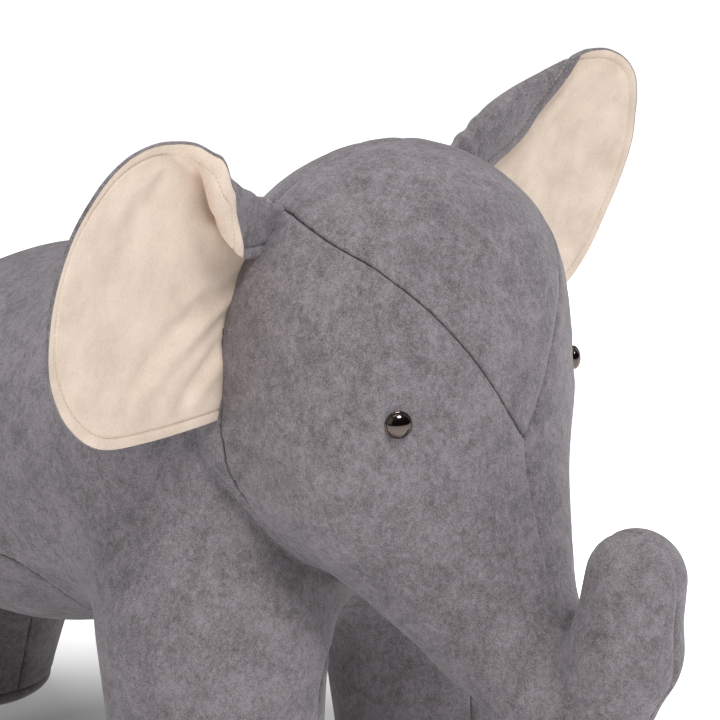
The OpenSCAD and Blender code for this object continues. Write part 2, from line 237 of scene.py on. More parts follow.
# The ear-to-ear seam: how far behind (+) the shoulder's centre it lies, by height under the crown.
CROSS = [(-225, -122), (-196, -101), (-184, -97), (-170, -93), (-153, -91), (-139, -89), (-105, -90),
         (-60, -91), (-25, -91.5), (-13, -97), (-6, -102.5), (0, -111)]
# Half the width of the crown gusset by height under the crown, and near the ears its height by place
# along the body.
GUSSET = [(-160, -8), (-151, 0), (-103, 34), (-46, 77)]
GUSSET_TOP = [(-206, -97), (-198, -84), (-187, -66), (-176, -55), (-141, -36), (-112, -27), (-80, -25)]
crown_z = skull[2] + SKULL_R[2]
# Sideways place of the seam down the inside of the legs, by height.
LEG_SEAM = [(0, 88), (120, 76), (200, 70)]
BELLY_BOX = (-10, 196, 254, 40)        # the belly panel between the legs: y from, y to, top, rounding
CHEST_SEAM_Z = 222


def cross_seam(p):
    return p[:, 1] - shoulder[1] - curve(p[:, 2] - crown_z, CROSS)


def gusset_seam(p):
    height = p[:, 2] - crown_z
    low = np.abs(p[:, 0]) - curve(height, GUSSET)
    high = curve(p[:, 1] - shoulder[1], GUSSET_TOP) - height
    share = np.clip((height + 62) / 18, 0, 1)
    return low + (high - low) * share * share * (3 - 2 * share)


def centre_seam(p):
    return p[:, 0]


def belly_seam(p):
    low, high, top, rounding = BELLY_BOX
    y, z = np.abs(p[:, 1] - (low + high) / 2) - (high - low) / 2 + rounding, p[:, 2] - top + rounding
    arch = np.hypot(np.maximum(y, 0), np.maximum(z, 0)) + np.minimum(np.maximum(y, z), 0) - rounding
    inner = smooth_max(np.abs(p[:, 0]) - curve(p[:, 2], LEG_SEAM), p[:, 2] - CHEST_SEAM_Z, 20)
    return smooth_min(inner, arch, 14)


def sole_seam(p):
    return p[:, 2] - FOOT_SEAM


def off_seam(seam, field, p):
    """Signed distance from the seam along the surface, and the direction across the seam."""
    n = normals(field, p)
    g = slope(seam, p)
    g = g - n * (g * n).sum(1)[:, None]
    size = np.maximum(np.linalg.norm(g, axis=1), 0.12)
    return seam(p) / size, g / size[:, None]


# ------------------------------------------------------------------ meshing

def fine_values(field, low, step, shape):
    """The field on a grid, worked out in full only near the surface."""
    coarse = 4
    counts = [int(math.ceil(n / coarse)) for n in shape]
    centres = np.stack(np.meshgrid(*[low[k] + step * (coarse * np.arange(counts[k]) + (coarse - 1) / 2)
                                     for k in range(3)], indexing="ij"), -1)
    rough = field(centres.reshape(-1, 3)).reshape(counts)
    value = rough
    for k in range(3):
        value = np.repeat(value, coarse, axis=k)
    value = value[:shape[0], :shape[1], :shape[2]].copy()
    near = np.argwhere(np.abs(value) < step * coarse * 1.9)
    value[tuple(near.T)] = field(low + step * near)
    return value


def surface_net(field, low, high, step):
    """Quads over the surface where the field is zero."""
    shape = [int(math.ceil((high[k] - low[k]) / step)) + 2 for k in range(3)]
    value = fine_values(field, low, step, shape)
    inside = value < 0
    corners = list(product((0, 1), repeat=3))
    total = sum(inside[tuple(slice(c, c + n - 1) for c, n in zip(corner, shape))].astype(np.int8)
                for corner in corners)
    active = (total > 0) & (total < 8)
    index = -np.ones(active.shape, np.int64)
    index[active] = np.arange(active.sum())
    cells = np.argwhere(active)
    place, hits = np.zeros((len(cells), 3)), np.zeros(len(cells))
    for a, b in product(corners, corners):
        if sum(b) - sum(a) != 1 or any(y < x for x, y in zip(a, b)):
            continue
        va, vb = value[tuple((cells + a).T)], value[tuple((cells + b).T)]
        crossed = (va < 0) != (vb < 0)
        t = np.where(crossed, va / np.where(crossed, va - vb, 1), 0)
        place += crossed[:, None] * (np.array(a) + t[:, None] * (np.array(b) - a))
        hits += crossed
    verts = low + step * (cells + place / hits[:, None])
    quads = []
    for axis in range(3):
        u, v = (axis + 1) % 3, (axis + 2) % 3
        first = [slice(1, n - 1) for n in shape]
        first[axis] = slice(0, shape[axis] - 1)
        second = list(first)
        second[axis] = slice(1, shape[axis])
        for leaving in (True, False):
            here, there = inside[tuple(first)], inside[tuple(second)]
            at = np.argwhere(here & ~there if leaving else ~here & there)
            at[:, u] += 1
            at[:, v] += 1
            around = []
            for du, dv in ((-1, -1), (0, -1), (0, 0), (-1, 0)):
                cell = at.copy()
                cell[:, u] += du
                cell[:, v] += dv
                around.append(index[tuple(cell.T)])
            quads.append(np.stack(around if leaving else around[::-1], 1))
    return verts, np.concatenate(quads)


def relax(field, verts, quads, rounds):
    """Evens out the quads, keeping them on the surface."""
    a = quads.ravel()
    b = np.roll(quads, -1, axis=1).ravel()
    ends, others = np.concatenate([a, b]), np.concatenate([b, a])
    count = np.bincount(ends, minlength=len(verts))[:, None]
    for _ in range(rounds):
        mean = np.stack([np.bincount(ends, verts[others, k], len(verts)) for k in range(3)], 1) / count
        verts = settle(field, verts + 0.6 * (mean - verts), 1)
    return settle(field, verts, 2)


SEAM_REACH = 13                        # the mesh is drawn in towards a seam from this far


def draw_in(field, seam, verts, where=None):
    """Crowds the mesh towards a seam, so that its groove has rows of its own."""
    s, across = off_seam(seam, field, verts)
    size = np.minimum(np.abs(s), SEAM_REACH)
    closer = SEAM_REACH * (size / SEAM_REACH) ** 1.7 - size
    if where is not None:
        closer = closer * where(verts)
    return settle(field, verts + across * (np.sign(s) * closer)[:, None], 2)


def refresh(bm):
    """Numbers the mesh afresh after a cut."""
    bm.verts.index_update()
    bm.edges.index_update()
    bm.verts.ensure_lookup_table()


def cut_along(bm, field, seam, faces, snap=0.35):
    """Cuts the chosen faces along a seam, and returns those ahead of it and those behind it."""
    refresh(bm)
    co = np.array([v.co for v in bm.verts])
    chosen = sorted({v.index for f in faces for v in f.verts})
    s, across = off_seam(seam, field, co[chosen])
    value = dict(zip(chosen, s))
    for i, d, t in zip(chosen, s, across):
        if abs(d) < snap:
            bm.verts[i].co = co[i] - t * d
            value[i] = 0.0
    mark = {bm.verts[i]: value[i] for i in chosen}
    edges = {e for f in faces for e in f.edges}
    edges = sorted((e for e in edges if mark[e.verts[0]] * mark[e.verts[1]] < 0), key=lambda e: e.index)
    for e in edges:
        a, b = e.verts
        _, new = bmesh.utils.edge_split(e, a, mark[a] / (mark[a] - mark[b]))
        mark[new] = 0.0
    ahead, behind = [], []
    for f in list(faces):
        on = [v for v in f.verts if mark[v] == 0.0]
        signs = {np.sign(mark[v]) for v in f.verts} - {0.0}
        parts = [f]
        if len(signs) == 2 and len(on) >= 2:
            pair = next(((a, b) for a in on for b in on
                         if a is not b and not any(b in e.verts for e in a.link_edges if e in f.edges)), None)
            if pair:
                made = bmesh.utils.face_split(f, *pair)
                if made:
                    parts.append(made[0])
        for part in parts:
            mean = sum(mark[v] for v in part.verts)
            (ahead if mean < 0 else behind).append(part)
    return ahead, behind


# ------------------------------------------------------------------ writing meshes

def new_object(name, verts, faces, look):
    mesh = bpy.data.meshes.new(name)
    mesh.from_pydata([tuple(v) for v in np.asarray(verts) * MM], [],
                     [tuple(int(i) for i in f) for f in faces])
    mesh.validate()
    mesh.materials.append(look)
    obj = bpy.data.objects.new(name, mesh)
    bpy.context.scene.collection.objects.link(obj)
    mesh.polygons.foreach_set("use_smooth", [True] * len(mesh.polygons))
    return obj


def thicken(obj, thickness):
    """Gives a sheet its thickness, inward from its face, and applies it."""
    mod = obj.modifiers.new("cloth", "SOLIDIFY")
    mod.thickness = thickness * MM
    mod.offset = -1
    mod.use_even_offset = False
    bake(obj)


def bake(obj):
    """Applies every modifier."""
    graph = bpy.context.evaluated_depsgraph_get()
    made = bpy.data.meshes.new_from_object(obj.evaluated_get(graph))
    old = obj.data
    obj.modifiers.clear()
    obj.data = made
    made.name = obj.name
    bpy.data.meshes.remove(old)


def panel(name, verts, faces, look):
    """A piece from some faces of a larger mesh."""
    used = sorted({i for f in faces for i in f})
    at = {i: k for k, i in enumerate(used)}
    return new_object(name, verts[used], [[at[i] for i in f] for f in faces], look)


# ------------------------------------------------------------------ materials

def material(name):
    mat = bpy.data.materials.new(name)
    mat.use_nodes = True
    tree = mat.node_tree
    shader = tree.nodes["Principled BSDF"]
    return mat, tree, shader


def node(tree, kind, links=(), **settings):
    n = tree.nodes.new(kind)
    for key, value in settings.items():
        if key.startswith("in_"):
            n.inputs[key[3:].replace("_", " ")].default_value = value
        else:
            setattr(n, key, value)
    for source, socket in links:
        tree.links.new(source, n.inputs[socket])
    return n


def texture(tree, at, scale, detail, roughness=0.5, distortion=0.0):
    return node(tree, "ShaderNodeTexNoise", [(at, "Vector")], in_Scale=scale, in_Detail=detail,
                in_Roughness=roughness, in_Distortion=distortion).outputs["Fac"]


def mix(tree, a, b, share):
    return node(tree, "ShaderNodeMix", [(a, "A"), (b, "B")], in_Factor=share).outputs["Result"]


def bump(tree, height, strength, distance, under=()):
    return node(tree, "ShaderNodeBump", [(height, "Height"), *under], in_Strength=strength,
                in_Distance=distance).outputs["Normal"]


def dress(tree, shader, links=(), **values):
    """Links and sets the shader's own sockets."""
    for source, socket in links:
        tree.links.new(source, shader.inputs[socket])
    for socket, value in values.items():
        shader.inputs[socket.replace("_", " ")].default_value = value


def ramp(tree, source, stops):
    n = node(tree, "ShaderNodeValToRGB", [(source, "Fac")])
    n.color_ramp.elements[0].position, n.color_ramp.elements[0].color = stops[0][0], (*stops[0][1], 1)
    n.color_ramp.elements[1].position, n.color_ramp.elements[1].color = stops[-1][0], (*stops[-1][1], 1)
    for position, colour in stops[1:-1]:
        n.color_ramp.elements.new(position).color = (*colour, 1)
    return n.outputs["Color"]


def grey(value):
    return (value, value, value)


def velour(name, low, high):
    """Short-pile velour: crushed patches where the nap lies another way, short streaks down the nap, and
    a fine grain."""
    mat, tree, shader = material(name)
    at = node(tree, "ShaderNodeTexCoord").outputs["Object"]
    drawn = node(tree, "ShaderNodeMapping", [(at, "Vector")], in_Scale=(1.0, 1.0, 0.7)).outputs["Vector"]
    patches = texture(tree, at, 55.0, 8.0, 0.7, 0.5)
    streaks = texture(tree, drawn, 320.0, 4.0, 0.65, 0.6)
    grain = texture(tree, at, 1300.0, 2.0, 0.8)
    nap = mix(tree, mix(tree, patches, streaks, 0.48), texture(tree, at, 11.0, 2.0), 0.11)
    colour = ramp(tree, mix(tree, nap, grain, 0.42), [(0.42, low), (0.58, high)])
    rough = ramp(tree, nap, [(0.35, grey(0.95)), (0.65, grey(0.78))])
    fine = bump(tree, grain, 0.5, 0.0006)
    normal = bump(tree, nap, 0.35, 0.0012, [(fine, "Normal")])
    dress(tree, shader, [(colour, "Base Color"), (rough, "Roughness"), (normal, "Normal")], Sheen_Weight=0.22,
          Sheen_Roughness=0.45, Sheen_Tint=(0.93, 0.92, 0.97, 1), Specular_IOR_Level=0.15)
    return mat


def suede(name, low, high):
    """Smooth cream suede cloth with a fine matt nap."""
    mat, tree, shader = material(name)
    at = node(tree, "ShaderNodeTexCoord").outputs["Object"]
    cloud, grain = texture(tree, at, 42.0, 4.0, 0.6), texture(tree, at, 1100.0, 2.0, 0.7)
    colour = ramp(tree, mix(tree, cloud, grain, 0.4), [(0.36, low), (0.64, high)])
    rough = ramp(tree, cloud, [(0.3, grey(0.95)), (0.7, grey(0.82))])
    normal = bump(tree, grain, 0.3, 0.0005)
    dress(tree, shader, [(colour, "Base Color"), (rough, "Roughness"), (normal, "Normal")], Sheen_Weight=0.12,
          Sheen_Roughness=0.5, Specular_IOR_Level=0.12)
    return mat


def wood(name, light, dark, scale):
    """Grain that runs along Y."""
    mat, tree, shader = material(name)
    at = node(tree, "ShaderNodeTexCoord").outputs["Object"]
    stretched = node(tree, "ShaderNodeMapping", [(at, "Vector")], in_Scale=(scale, scale * 0.12, scale))
    grain = texture(tree, stretched.outputs["Vector"], 1.0, 6.0, 0.6, 0.4)
    colour = ramp(tree, grain, [(0.35, dark), (0.65, light)])
    dress(tree, shader, [(colour, "Base Color"), (bump(tree, grain, 0.2, 0.0004), "Normal")], Roughness=0.6)
    return mat


def metal(name, colour, low, high, scale):
    """Metal that is a little smeared."""
    mat, tree, shader = material(name)
    smear = texture(tree, node(tree, "ShaderNodeTexCoord").outputs["Object"], scale, 3.0)
    rough = ramp(tree, smear, [(0.3, grey(low)), (0.7, grey(high))])
    tint = ramp(tree, smear, [(0.3, colour), (0.7, tuple(0.85 * c for c in colour))])
    dress(tree, shader, [(rough, "Roughness"), (tint, "Base Color")], Metallic=1.0)
    return mat


def thread(name, colour):
    """Twisted sewing thread."""
    mat, tree, shader = material(name)
    twist = texture(tree, node(tree, "ShaderNodeTexCoord").outputs["Object"], 1500.0, 1.0)
    tint = ramp(tree, twist, [(0.3, tuple(0.7 * c for c in colour)), (0.7, colour)])
    dress(tree, shader, [(tint, "Base Color")], Roughness=0.7)
    return mat


GREY = velour("grey_velour", (0.118, 0.106, 0.113), (0.300, 0.272, 0.289))
CREAM = suede("cream_suede", (0.67, 0.545, 0.448), (0.86, 0.722, 0.606))
PLY = wood("plywood", (0.62, 0.43, 0.24), (0.46, 0.29, 0.14), 60)
BEECH = wood("beech", (0.58, 0.36, 0.20), (0.42, 0.24, 0.12), 90)
ZINC = metal("zinc_plate", (0.62, 0.63, 0.66), 0.25, 0.45, 400)
NICKEL = metal("black_nickel", (0.13, 0.103, 0.093), 0.03, 0.07, 300)
CREAM_THREAD = thread("cream_thread", (0.74, 0.60, 0.46))


# ------------------------------------------------------------------ the sewn cover

CREASE = 1.1                           # depth of a seam's groove
PILLOW = 0.35                          # how far the stuffing swells beside a seam
COVER_T = 1.6
HEAD_BURIED, BODY_BURIED = 7, 9        # faces this deep inside the body, or the head, are left out
FAR = 99                               # stands for a seam that isn't there


def seam_relief(p, s):
    """How far the cover stands out at a distance s from a seam: a sharp groove, a soft swell beside it,
    and small gathers that run across the seam."""
    s = np.abs(s)
    gathers = noise(p, 5.5, 3) * bell(s, 5) * 0.22 + noise(p, 13, 4) * bell(s, 11) * 0.30
    return (-CREASE * bell(s, 0.5) - 0.5 * bell(s, 0.25) - 0.25 * bell(s, 2.6) + PILLOW * bell(s - 7, 5)
            + gathers)


def softness(p):
    """The cover's own slight unevenness over the filling."""
    return 0.9 * noise(p, 70, 1) + 0.35 * noise(p, 26, 2) + 0.10 * noise(p, 9, 5)


def crook_folds(p):
    """Folds where the trunk's curl squeezes the cover: short rolls in the hollow, and creases that run
    down from it on both sides."""
    q = mirrored(p) - crook
    distance = np.linalg.norm(q * (0.6, 1, 1), axis=1)
    rolls = np.sin((q[:, 1] * 0.8 + q[:, 2] * 0.9) * 1.15) * bell(distance, 13) * 0.9
    turn = np.degrees(np.arctan2(-q[:, 2], q[:, 1] + 14))
    creases = 0
    for angle, width, depth in ((14, 5, 0.8), (31, 6, 1.0), (50, 6, 0.9), (72, 8, 0.7), (96, 8, 0.5)):
        creases = creases - depth * bell(turn - angle, width)
    side = np.clip(q[:, 0] / 14, 0, 1)
    return rolls + creases * side * bell(distance - 30, 20)


EYE_R, EYE_HEIGHT = 7.5, 4.6


def eye_dimple(p):
    """The cover is drawn in a little round each eye."""
    total = 0
    for side, _ in SIDES:
        distance = distance_to(p, eye_seat[side][0])
        total = total - 0.9 * bell(distance, EYE_R + 2) + 0.25 * bell(distance - 2 * EYE_R, 6)
    return total


def find_seat(side):
    """Where an eye's middle sits on the head, and which way it looks."""
    low, high = box(f"eye_{side}")
    p = settle(head_field, ((low + high) / 2)[None], 8)
    return p[0], normals(head_field, p)[0]


eye_seat = {side: find_seat(side) for side, _ in SIDES}


def mesh_of(field, low, high, seams):
    """A quad mesh of the surface, crowded along its seams."""
    verts, quads = surface_net(field, low, high, STEP)
    verts = relax(field, verts, quads, 6)
    for seam, where in seams:
        verts = draw_in(field, seam, verts, where)
    bm = bmesh.new()
    made = [bm.verts.new(v) for v in verts]
    for quad in quads:
        try:
            bm.faces.new([made[i] for i in quad])
        except ValueError:             # a pinched quad
            pass
    return bm


def arrays(bm, groups):
    """The mesh as an array of places, and each group's faces as lists of indices."""
    refresh(bm)
    co = np.array([v.co for v in bm.verts])
    return co, {name: [[v.index for v in f.verts] for f in faces] for name, faces in groups.items()}


def in_front(p):
    """1 ahead of the ear-to-ear seam, 0 well behind it."""
    return (cross_seam(p) < 25).astype(float)


def on_the_feet(p):
    return (p[:, 2] < 60).astype(float)


def make_head():
    """The head's panels, less what lies deep inside the body."""
    bm = mesh_of(head_field, point(-135, trunk_low[1] - 12, trunk_low[2] - 14),
                 point(135, skull[1] + SKULL_R[1] + 12, crown_z + 12),
                 [(cross_seam, None), (gusset_seam, in_front), (centre_seam, None)])
    ahead, behind = cut_along(bm, head_field, cross_seam, list(bm.faces))
    gusset, sides = cut_along(bm, head_field, gusset_seam, ahead)
    side_right, side_left = cut_along(bm, head_field, centre_seam, sides)
    back_right, back_left = cut_along(bm, head_field, centre_seam, behind)
    co, groups = arrays(bm, {"crown_gusset": gusset,
                             "head_side_right": side_right, "head_side_left": side_left,
                             "head_back_right": back_right, "head_back_left": back_left})
    bm.free()
    s_cross = off_seam(cross_seam, head_field, co)[0]
    s_gusset = np.where(cross_seam(co) < 3, off_seam(gusset_seam, head_field, co)[0], FAR)
    inside_gusset = np.zeros(len(co), bool)
    inside_gusset[sorted({i for f in groups["crown_gusset"] for i in f})] = True
    s_centre = np.where(inside_gusset & (np.abs(s_gusset) > 1), FAR, off_seam(centre_seam, head_field, co)[0])
    to_body = body_field(co)
    rise = softness(co) + crook_folds(co) + eye_dimple(co)
    nearest = np.minimum(np.minimum(np.abs(s_cross), np.abs(s_gusset)), np.abs(s_centre))
    rise = rise * (1 - 0.6 * bell(nearest, 3)) + seam_relief(co, nearest)
    rise += -1.6 * bell(to_body, 3.2) + 0.35 * noise(co, 7, 6) * bell(to_body, 9)
    verts = co + normals(head_field, co) * rise[:, None]
    kept = {name: [f for f in faces if to_body[f].max() > -HEAD_BURIED] for name, faces in groups.items()}
    return verts, kept


def make_body():
    """The body's panels and soles, less what lies deep inside the head."""
    front_end = min(foam_low[1], foot["front"][1] - FOOT_R, thigh["front"][1] - THIGH_R)
    low = point(-170, front_end - 14, -6)
    high = point(170, foot["rear"][1] + FOOT_R + 14, shoulder[2] + SHOULDER_R + 12)
    bm = mesh_of(body_field, low, high, [(belly_seam, None), (sole_seam, on_the_feet)])
    below, above = cut_along(bm, body_field, sole_seam, list(bm.faces))
    belly, upper = cut_along(bm, body_field, belly_seam, above)
    soles = {}
    for f in below:
        c = f.calc_center_median()
        end = "front" if c.y < middle[1] else "rear"
        soles.setdefault(f"sole_{end}_{'left' if c.x > 0 else 'right'}", []).append(f)
    co, groups = arrays(bm, {"body_cover": upper, "belly_cover": belly, **soles})
    bm.free()
    s_belly = np.where(co[:, 2] < FOOT_SEAM - 2, FAR, off_seam(belly_seam, body_field, co)[0])
    s_sole = off_seam(sole_seam, body_field, co)[0]
    to_head = head_field(co)
    nearest = np.minimum(np.abs(s_belly), np.abs(s_sole))
    standing = np.clip((co[:, 2] - 2) / 10, 0, 1)      # the soles stay flat on the floor
    rise = softness(co) * (1 - 0.6 * bell(nearest, 3)) + seam_relief(co, nearest)
    rise += 1.2 * bell(s_sole + 9, 6) * (co[:, 2] < FOOT_SEAM)
    rise += -1.5 * bell(to_head, 3.0) + 0.35 * noise(co, 7, 7) * bell(to_head, 9)
    verts = co + normals(body_field, co) * (rise * standing)[:, None]
    verts[:, 2] = np.maximum(verts[:, 2], 0)
    kept = {name: [f for f in faces if to_head[f].max() > -BODY_BURIED] for name, faces in groups.items()}
    return verts, kept


# ------------------------------------------------------------------ ears

# The flat cut of an ear, round from its lower root corner: distance out from the hinge line, and
# height over the hinge's lower end. Its upper margin is folded over to the front, and each ear's own
# upper margin is a little different.
EAR_LOWER = [(-14, 12), (-8, 5), (2, 3.4), (14, 3), (37, 4), (64, 6), (92, 10), (110, 18), (127, 33),
             (139, 50), (148, 68), (154, 87), (157, 105), (156, 122)]
EAR_UPPER = {
    "right": [(151, 137), (141, 150), (129, 159.5), (116, 165.5), (104, 168), (92, 169), (81, 169),
              (70, 169.5), (58, 172), (49, 175.5), (40, 179), (30, 181.5), (21.5, 180.5), (13, 177.5),
              (4.5, 171.5), (-3.5, 164), (-12.5, 154.5), (-20, 147), (-27, 140), (-34, 129)],
    "left": [(154, 138), (149, 152), (139, 163), (123, 170), (106, 171.5), (84, 174), (61, 177.5), (45, 181),
             (29, 186), (16, 185.5), (4, 180), (-14, 167), (-31, 154), (-41, 143), (-38, 128)]}
EAR_ROOT = [(-29, 105), (-18, 60)]
ROOT_LINE = (-13, 6), (-40, 138)       # the straight root between the two corners
# How far in from the edge the rings of the border lie, close together at the rounded edge and the stitches.
BORDER_RINGS = (0, 0.25, 0.55, 1.1, 1.9, 3.0, 4.2, 5.2, 5.75, 6.2, 6.65, 7.2, 8.2, 9.4, 10.8)
EAR_MIDDLE = point(44, 92)
HINGE_LOW, HINGE_HIGH = point(105, -144, 370), point(93, -155, 468)
EAR_SWEEP = math.radians(5.5)
BAND = 6.2                             # width of the topstitched border
STITCH_PITCH, STITCH_RUN, THREAD_R = 3.0, 2.3, 0.26
EAR_CLOTH_T = 0.6
LIP_OVER = 0.12                        # how far the rolled edge of the back stands over the lining

# The fold of an ear's upper margin runs in a low arch from the top root corner to the tip. By distance
# along it: its arch, how many degrees it turns, its radius, the width of the margin, the strip of it that
# turns back up again, as in a pleat, and how many degrees that turns. Only the right ear has a pleat.
FOLD_START, FOLD_ANGLE = point(-16, 117), math.radians(21.5)
FOLD = {
    "right": {
        "arch": [(-14, -7), (0, -4.5), (17, -4), (55, -2.5), (80, 0.5), (105, 3), (140, 0), (160, -6)],
        "turn": [(-14, 172), (40, 168), (75, 165), (82, 148), (90, 110), (100, 62), (110, 26), (120, 8),
                 (130, 0)],
        "radius": [(-14, 3.2), (17, 3.3), (39, 4.4), (50, 5.3), (60, 6), (75, 5.5), (140, 5)],
        "margin": [(-14, 24), (17, 37), (29, 43), (39, 46.3), (50, 48.8), (58, 47), (66, 44), (75, 35),
                   (82, 26), (90, 19), (100, 12), (120, 4.5), (130, 0)],
        "strip": [(-14, 0), (12, 0), (29, 6.5), (39, 10.5), (50, 15.5), (75, 15), (82, 11), (90, 7),
                  (100, 4), (112, 0)],
        "back": [(-14, 155), (75, 152), (82, 136), (90, 98), (112, 0)]},
    "left": {
        "arch": [(-14, -1), (0, 2.5), (49, 8.5), (75, 7.2), (103, 5), (125, 3.5), (140, 1), (152, -4)],
        "turn": [(-14, 168), (98, 166), (110, 152), (124, 108), (147, 0)],
        "radius": [(-14, 4.2), (60, 4.4), (110, 3.4), (140, 4)],
        "margin": [(-14, 60), (150, 60)],
        "strip": [(-14, 0), (150, 0)],
        "back": [(-14, 0), (150, 0)]}}
STRIP_R = 2.8                          # radius at which the outer strip turns back
# Soft folds in a lining: from, to, width, height. A negative height is a hollow.
EAR_FOLDS = {
    "right": [((-14, 95), (60, 57), 5, -2.2), ((44, 66), (88, 32), 7, -1.8), ((-14, 104), (70, 66), 7, 2.2),
              ((-14, 88), (50, 46), 4.5, 2.2), ((36, 57), (78, 24), 6, 1.4), ((-12, 76), (48, 36), 5, -1.8),
              ((-10, 66), (40, 22), 4.5, -2.2), ((24, 36), (50, 4), 5, -1.6), ((-8, 56), (36, 10), 5, 1.6),
              ((140, 74), (70, 62), 7, -1.2), ((84, 160), (100, 144), 5, 1.8),
              ((92, 152), (128, 132), 7, 1.8), ((76, 152), (104, 130), 6, -1.6),
              ((54, 124), (14, 108), 5, 1.8), ((46, 142), (18, 118), 7, -2.6),
              ((66, 118), (108, 90), 14, 1.2), ((104, 40), (128, 80), 12, 1.0)],
    "left": [((128, 162), (92, 144), 5, 2.6), ((104, 150), (60, 128), 6, 2.2),
             ((114, 144), (74, 120), 6, -2.2), ((120, 134), (136, 96), 9, 1.6),
             ((60, 100), (120, 110), 9, -1.4), ((100, 60), (130, 76), 8, 1.3),
             ((88, 44), (112, 52), 7, -1.4), ((70, 30), (110, 36), 7, 1.2), ((60, 80), (130, 60), 10, 1.2)]}


def closed_curve(points, count):
    """Evenly spaced points on a closed smooth curve."""
    p = np.array(points, float)
    n, parts = len(p), 24
    out = []
    for i in range(n):
        a, b, c, d = p[i - 1], p[i], p[(i + 1) % n], p[(i + 2) % n]
        t = (np.arange(parts) / parts)[:, None]
        out.append(0.5 * (2 * b + (c - a) * t + (2 * a - 5 * b + 4 * c - d) * t ** 2
                          + (3 * b - a - 3 * c + d) * t ** 3))
    dense = np.concatenate(out)
    loop = np.vstack([dense, dense[:1]])
    along = np.concatenate([[0], np.cumsum(np.linalg.norm(np.diff(loop, axis=0), axis=1))])
    want = np.linspace(0, along[-1], count, endpoint=False)
    return np.stack([np.interp(want, along, loop[:, k]) for k in range(2)], 1)


def fold_over(over, lift, turn, radius, start_back, back):
    """Across a fold: from the distance past it, to the place across and in front of the flat ear. The
    sheet turns once about the fold, and its outer strip turns back by another angle."""
    a1 = np.clip(over / radius, 0, turn)
    x, y = np.minimum(over, 0) + radius * np.sin(a1), radius * (1 - np.cos(a1))
    start_back = np.maximum(start_back, radius * turn)
    flat = np.clip(over - radius * turn, 0, start_back - radius * turn)
    x, y = x + flat * np.cos(a1), y + flat * np.sin(a1)
    a3 = np.clip((over - start_back) / STRIP_R, 0, back)
    heading = a1 - a3
    x, y = x + STRIP_R * (np.sin(a1) - np.sin(heading)), y + STRIP_R * (np.cos(heading) - np.cos(a1))
    rest = np.maximum(over - start_back - STRIP_R * back, 0)
    x, y = x + rest * np.cos(heading), y + rest * np.sin(heading)
    return x - lift * np.sin(heading), y + lift * np.cos(heading)


def ear_place(cut, lift, side):
    """From places in the flat cut to the folded left-hand ear. The lift is the height over the ear's
    middle layer, toward the animal's front. The fold may be either ear's own."""
    f = point(math.cos(FOLD_ANGLE), math.sin(FOLD_ANGLE))
    up = point(-f[1], f[0])
    rel = cut - FOLD_START
    along = rel @ f
    fold = FOLD[side]
    arch = curve(along, fold["arch"])
    over = rel @ up - arch
    start_back = curve(along, fold["margin"]) - curve(along, fold["strip"])
    x, y = fold_over(over, lift, np.radians(curve(along, fold["turn"])), curve(along, fold["radius"]),
                     start_back, np.radians(curve(along, fold["back"])))
    place = FOLD_START + along[:, None] * f + (x + arch)[:, None] * up
    w, h = place.T
    span = HINGE_HIGH - HINGE_LOW
    hinge = HINGE_LOW + span * (h / span[2])[:, None]
    out = point(math.cos(EAR_SWEEP), -math.sin(EAR_SWEEP), 0)
    front = point(-math.sin(EAR_SWEEP), -math.cos(EAR_SWEEP), 0)
    # The ear is a shallow bowl, and its outer edge twists a little.
    hollow = -9 * np.clip(1 - ((w - 78) / 82) ** 2, 0, 1) * np.clip(1 - ((h - 84) / 96) ** 2, 0, 1)
    outer = np.clip((w - 40) / 110, 0, 1.1) ** 2
    twist = outer * np.interp(h, [0, 60, 100, 150, 175], [-4, -4, 0, 6, 7])
    return hinge + w[:, None] * out + (y + hollow + twist)[:, None] * front


def segment_distance(p, a, b):
    """Distance to a line from a to b, and how far along it, from 0 to 1."""
    a, b = np.array(a, float), np.array(b, float)
    t = np.clip((p - a) @ (b - a) / ((b - a) @ (b - a)), 0, 1)
    return np.linalg.norm(p - a - t[:, None] * (b - a), axis=1), t


EDGE_R = 1.15                          # the rounded edge where the two layers meet


def lining_start(cut):
    """How far in from the edge the lining starts: the grey back rolls over the edge along the top."""
    return 0.2 + 0.9 * np.clip((cut[:, 1] - 50) / 50, 0, 1)


def ear_half_thickness(inset, cut, side, front):
    """Half the ear's thickness at a distance in from its edge."""
    rim = EDGE_R * np.sqrt(np.clip(1 - (1 - np.clip(inset / EDGE_R, 0, 1)) ** 2, 0, 1))
    thick = rim + 0.35 * bell(inset - 3.4, 2) - 0.75 * bell(inset - BAND, 0.7)
    thick += 1.2 * np.clip((inset - BAND) / 9, 0, 1) ** 0.7
    flat = np.column_stack([cut, np.zeros(len(cut))])
    if front:
        calm = np.clip((inset - BAND - 0.5) / 9, 0, 1)
        for a, b, width, height in EAR_FOLDS[side]:
            distance, t = segment_distance(cut, a, b)
            thick = thick + calm * height * bell(distance, width) * np.sin(np.pi * t) ** 1.5
        thick = thick + calm * (0.8 * noise(flat, 24, 8) + 0.3 * noise(flat, 9, 9))
        thick = thick + 0.22 * noise(flat, 4.5, 10) * bell(inset - BAND, 2.5)
        # Pressed flat where the root of the fold lies on the ear.
        pressed = bell(distance_to(cut, (0, 104)), 26) + bell(distance_to(cut, (-12, 156)), 22)
        thick = thick * (1 - 0.65 * np.minimum(pressed, 1))
        return np.maximum(thick, 0.35)
    calm = np.clip((inset - BAND) / 10, 0, 1)
    pleats = 0.9 * np.sin(cut[:, 0] * 0.33 + cut[:, 1] * 0.22) * bell(distance_to(cut, (-6, 130)), 20)
    return np.maximum(thick + calm * (0.8 * noise(flat, 30, 11) + 0.3 * noise(flat, 12, 12) + pleats), 0)


def ear_cut(side):
    return EAR_LOWER + EAR_UPPER[side] + EAR_ROOT


